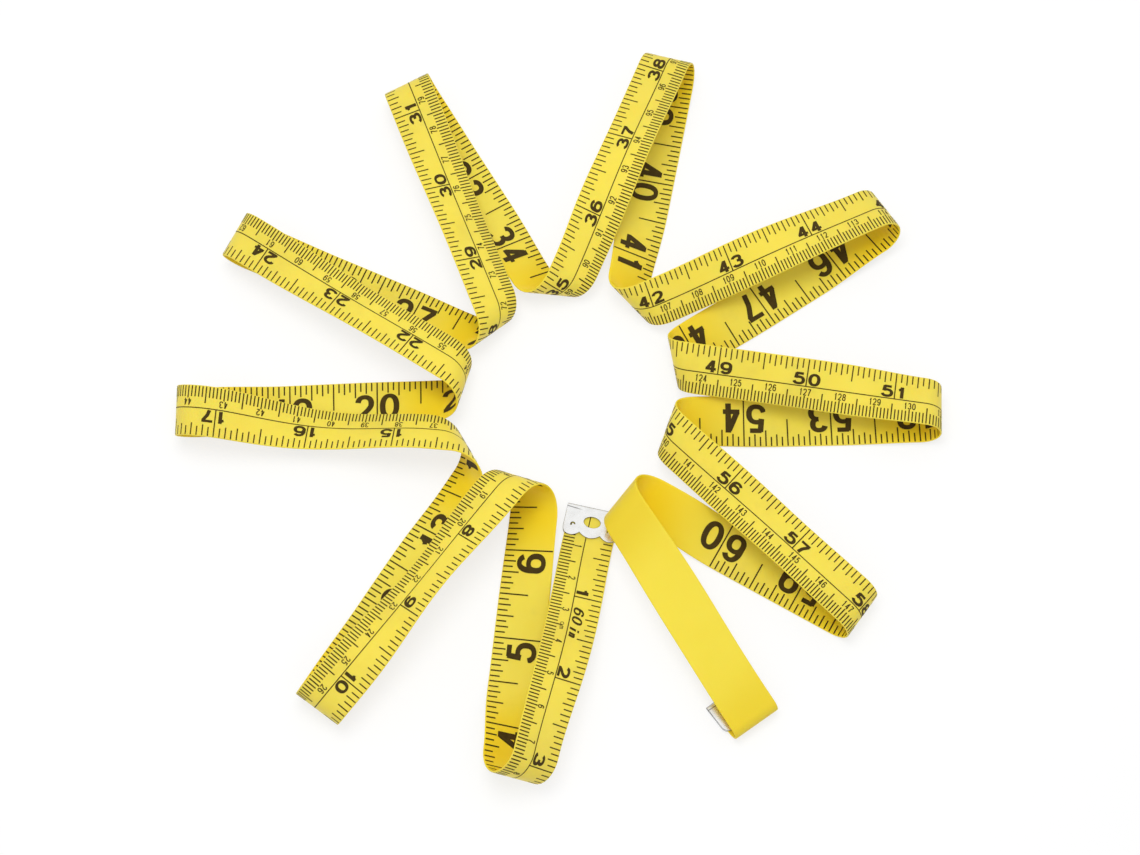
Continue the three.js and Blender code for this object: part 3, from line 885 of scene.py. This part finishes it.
# Numerals: bold and wide for the inches on the face, small for the centimetres, tall for the inches on the back
inchNumerals = {"size": (0.0035, 0.0036), "pen": (0.00100, 0.00073), "narrow": 0.74, "at": 0.408, "aside": 0.00218}
cmNumerals = {"size": (0.00102, 0.0020), "pen": (0.00029, 0.00028), "narrow": 0.72, "at": 0.665, "pitch": 0.00122}
backNumerals = {"size": (0.0057, 0.0084), "pen": (0.00165, 0.00136), "narrow": 0.74, "at": 0.57, "aside": 0.0036,
                "mirrored": True}


def straddling(style, at):  # tens and units stand on either side of the inch line, a lone digit before it
    points = []
    for n in range(1, scaleInches + 1):
        line = zeroMark + n * inch
        tens, units = divmod(n, 10)
        if tens == 0:
            tens, units = units, None
        for digit, side in ((tens, -1), (units, 1)):
            if digit is not None:
                aside = style["aside"] - (style["size"][0] * (1 - style["narrow"]) / 2 if digit == 1 else 0)
                points.append((line + side * aside, at, digit))
    return points


def centred(style, at):
    points = []
    for n in range(1, scaleCentimetres + 1):
        text = str(n)
        for k, digit in enumerate(text):
            points.append((zeroMark + n * centimetre + (k - (len(text) - 1) / 2) * style["pitch"], at, int(digit)))
    return points


makeNumbers("inchNumerals", makeGlyphs("inchDigit", digits, inchNumerals),
            straddling(inchNumerals, across(inchNumerals["at"])), False)
makeNumbers("cmNumerals", makeGlyphs("cmDigit", digits, cmNumerals),
            centred(cmNumerals, across(cmNumerals["at"])), False)
makeNumbers("backNumerals", makeGlyphs("backDigit", digits, backNumerals),
            straddling(backNumerals, -across(backNumerals["at"])), True)

# The two unit words near the zero end
inchWord = {"size": (0.0023, 0.0031), "pen": (0.00068, 0.00045), "slant": 0.28, "at": 0.405,
            "letters": (("6", 0.0305), ("0", 0.0332), ("i", 0.0361), ("n", 0.0378)), "small": 0.62,
            "stem": (1.02, 0.9)}  # the i is as wide as its pen, and nearly as high as a numeral
cmWord = {"size": (0.00095, 0.00105), "pen": (0.00017, 0.00017), "at": 0.675,
          "letters": (("c", 0.0350), ("m", 0.0363)), "small": 1.0}


def makeWord(label, word):
    group = bpy.data.collections.new(label)
    points = []
    for k, (letter, s) in enumerate(word["letters"]):
        style = dict(word)
        if letter.isalpha():
            style["size"] = tuple(v * word["small"] for v in word["size"])
        if letter == "i":
            style["size"] = (word["pen"][0] * word["stem"][0], word["size"][1] * word["stem"][1])
        drop = (word["size"][1] - style["size"][1]) / 2  # small letters stand on the numerals' base line
        group.objects.link(makeGlyph("%s%02d" % (label, k), letter, style))
        points.append((s, across(word["at"]) - drop, k))
    makeNumbers(label, group, points, False)


makeWord("inchWord", inchWord)
makeWord("cmWord", cmWord)
bpy.data.objects.remove(printSurface)
print("scale printed")

# End plates: one stamped blank, folded over the tape's end like a letter U
plate = {
    "width": 0.016,
    "length": 0.0092,
    "height": tape["plateHeight"],
    "gauge": 0.0003,
    "overhang": 0.0014,
    "sideLobe": 0.005,
    "notchDepth": 0.0012,
    "lobeSteps": 12,
    "window": (0.0032, 0.0048),  # along and across
    "windowSteps": 40,
    "windowOffset": 0.0045,  # from the folded end
    "teeth": ((0.0066, 0.0053, 150), (0.0061, -0.0053, 205)),  # from the folded end, across, and the way it faces
    "toothRadii": (0.00036, 0.00068),
    "toothSpan": 200,
    "toothSteps": 10,
    "round": 0.00014,
    "weld": 0.000002,
    "flatFrom": 0.95,  # of a face's normal; what leans more is the sheared edge
    "bendSteps": 8,
    "sharpFrom": 35,
    "uvScale": 50.0,
}
bendRadius = (plate["height"] - plate["gauge"]) / 2
bendHalf = math.pi * bendRadius / 2  # half the length of the bend, unrolled


def blankOutline():  # one leaf, from the bend to its lobed edge; the other leaf mirrors it
    tip = plate["length"] - plate["height"] / 2 + bendHalf
    half, lobe = plate["width"] / 2, plate["sideLobe"] / 2
    notch = half - plate["sideLobe"]
    valley = tip - plate["notchDepth"]
    points = []

    def sweep(a, b, c):
        for k in range(1, plate["lobeSteps"] + 1):
            t = k / plate["lobeSteps"]
            points.append(tuple((1 - t) ** 2 * p + 2 * t * (1 - t) * q + t * t * r for p, q, r in zip(a, b, c)))

    points.append((tip - lobe, -half))
    sweep((tip - lobe, -half), (tip, -half), (tip, -half + lobe))
    sweep((tip, -half + lobe), (tip, -notch - lobe / 2), (valley, -notch))
    sweep((valley, -notch), (tip + plate["notchDepth"], 0), (valley, notch))
    sweep((valley, notch), (tip, notch + lobe / 2), (tip, half - lobe))
    sweep((tip, half - lobe), (tip, half), (tip - lobe, half))
    return points


def ovalOutline(x, y, sizeX, sizeY, count):
    turns = [2 * math.pi * k / count for k in range(count)]
    return [(x + sizeX / 2 * math.cos(a), y + sizeY / 2 * math.sin(a)) for a in turns]


def toothOutline(x, y, facing):  # the curved slit round a small tooth that is pressed into the tape
    inner, outer = plate["toothRadii"]
    steps = plate["toothSteps"]
    turns = [math.radians(facing + plate["toothSpan"] * (k / steps - 0.5)) for k in range(steps + 1)]
    slit = [(outer, a) for a in turns] + [(inner, a) for a in reversed(turns)]
    return [(x + r * math.cos(a), y + r * math.sin(a)) for r, a in slit]


def flatBlank(name):
    leaf = blankOutline()
    fromEnd = bendHalf - plate["height"] / 2
    loops = [leaf + [(-x, -y) for x, y in leaf],
             ovalOutline(plate["windowOffset"] + fromEnd, 0, *plate["window"], plate["windowSteps"])]
    loops += [toothOutline(x + fromEnd, y, facing) for x, y, facing in plate["teeth"]]
    curve = bpy.data.curves.new(name, "CURVE")
    curve.dimensions, curve.fill_mode = "2D", "BOTH"
    curve.extrude = plate["gauge"] / 2 - plate["round"]
    curve.bevel_depth, curve.bevel_resolution = plate["round"], 2
    curve.offset = -plate["round"]
    for loop in loops:
        spline = curve.splines.new("POLY")
        spline.points.add(len(loop) - 1)
        spline.points.foreach_set("co", [c for x, y in loop for c in (x, y, 0, 1)])
        spline.use_cyclic_u = True
    blank = addObject(name, curve)
    mesh = bpy.data.meshes.new_from_object(blank.evaluated_get(bpy.context.evaluated_depsgraph_get()))
    bpy.data.objects.remove(blank)
    return mesh


def addPlate(name, place, inward):
    mesh = flatBlank(name)
    work = bmesh.new()
    work.from_mesh(mesh)
    bmesh.ops.remove_doubles(work, verts=work.verts, dist=plate["weld"])
    for face in work.faces:
        face.material_index = 0 if abs(face.normal.z) > plate["flatFrom"] else 1
    steps = plate["bendSteps"]
    for k in range(-steps, steps + 1):  # cuts across the bend, so that it curves
        bmesh.ops.bisect_plane(work, geom=work.verts[:] + work.edges[:] + work.faces[:],
                               plane_co=(bendHalf * k / steps, 0, 0), plane_no=(1, 0, 0))
    unrolled = work.loops.layers.uv.new("plateUV")
    for face in work.faces:
        for corner in face.loops:
            corner[unrolled].uv = corner.vert.co.xy * plate["uvScale"]
    centre = plate["height"] / 2 - plate["overhang"]
    for v in work.verts:
        a, side, h = v.co
        if abs(a) <= bendHalf:
            turn = a / bendRadius
            x, z = centre - (bendRadius + h) * math.cos(turn), (bendRadius + h) * math.sin(turn)
        else:
            x, z = centre + abs(a) - bendHalf, math.copysign(bendRadius + h, a)
        v.co = (x, side, z + plate["height"] / 2)
    bmesh.ops.recalc_face_normals(work, faces=work.faces)
    angle = math.atan2(inward[1], inward[0])
    work.transform(Matrix.Translation(tuple(place)) @ Matrix.Rotation(angle, 4, "Z"))
    mesh.materials.clear()
    mesh.materials.append(platedSteel)
    mesh.materials.append(paintedEdgeShade)
    work.to_mesh(mesh)
    work.free()
    mesh.shade_smooth()
    mesh.set_sharp_from_angle(angle=math.radians(plate["sharpFrom"]))
    return addObject(name, mesh)


def floorPlace(point):
    return point * np.array((1, 1, 0)) + np.array(tape["starCentre"])


startPlate = addPlate("startPlate", floorPlace(runs[0]["start"]), runs[0]["direction"])
tailEnd = runs[-1]["start"] + runs[-1]["direction"] * runs[-1]["length"]
endPlate = addPlate("endPlate", floorPlace(tailEnd), -runs[-1]["direction"])
print("plates folded: %d faces each" % len(startPlate.data.polygons))

# What each piece rides on
leaves = tapePoints(np.array([tailLeaves]), np.array([0.0]))[0]
for piece in (tapeRibbon, startPlate, *prints):
    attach(piece, "star")
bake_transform(tailRibbon)
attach(endPlate, "free_tail")
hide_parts("tape")
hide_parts("tail")
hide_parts("start_tip")
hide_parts("end_tip")
print("pieces ride on their bodies")

# White table, white room and one broad lamp
studio = {
    "room": 0.70,
    "lamp": 1.55,
    "lampSize": 0.35,
    "lampPlace": (-0.05, 0.06, 0.60),
    "floorLit": 0.28,
    "floorGlow": 0.72,
    "floorBounce": 0.8,
    "floorHalf": 4.0,
    "floorTop": -0.0002,
}


def seenDirectly(tree):  # white to the camera and in reflections
    path = nodeSet(tree, "ShaderNodeLightPath")
    seen = math2(tree, "MAXIMUM", path.outputs["Is Camera Ray"], path.outputs["Is Glossy Ray"])
    return math2(tree, "MAXIMUM", seen, path.outputs["Is Transmission Ray"])


def addStudio():
    half, top = studio["floorHalf"], studio["floorTop"]
    corners = [(x * half, y * half, top) for x, y in ((-1, -1), (1, -1), (1, 1), (-1, 1))]
    table = addMesh("table", corners, [(0, 1, 2, 3)])
    material = bpy.data.materials.new("whiteTable")
    material.use_nodes = True
    tree = material.node_tree
    tree.nodes.clear()
    link = tree.links.new
    seen = seenDirectly(tree)
    tone = ranged(tree, seen, wanted=(studio["floorBounce"], studio["floorLit"]))  # the camera sees light shadows
    lit = nodeSet(tree, "ShaderNodeBsdfDiffuse", Color=tone)
    glow = nodeSet(tree, "ShaderNodeEmission", Color=(1, 1, 1, 1),
                   Strength=math2(tree, "MULTIPLY", seen, studio["floorGlow"]))
    both = nodeSet(tree, "ShaderNodeAddShader")
    link(lit.outputs[0], both.inputs[0])
    link(glow.outputs[0], both.inputs[1])
    nodeSet(tree, "ShaderNodeOutputMaterial", Surface=both.outputs[0])
    table.data.materials.append(material)

    world = bpy.data.worlds.new("whiteRoom")
    scene.world = world
    world.use_nodes = True
    tree = world.node_tree
    room = tree.nodes["Background"]
    room.inputs["Color"].default_value = (1, 1, 1, 1)
    strength = ranged(tree, seenDirectly(tree), wanted=(studio["room"], 1))
    tree.links.new(strength, room.inputs["Strength"])

    data = bpy.data.lights.new("broadLamp", "AREA")
    data.shape, data.size = "DISK", studio["lampSize"]
    data.energy = studio["lamp"]
    lamp = addObject("broadLamp", data)
    lamp.location = studio["lampPlace"]
    lamp.visible_glossy = False  # the plates mirror the white room alone
    lamp.rotation_euler = (-Vector(studio["lampPlace"])).to_track_quat("-Z", "Y").to_euler()
    scene.view_settings.view_transform = "Standard"


addStudio()
print("studio lit")
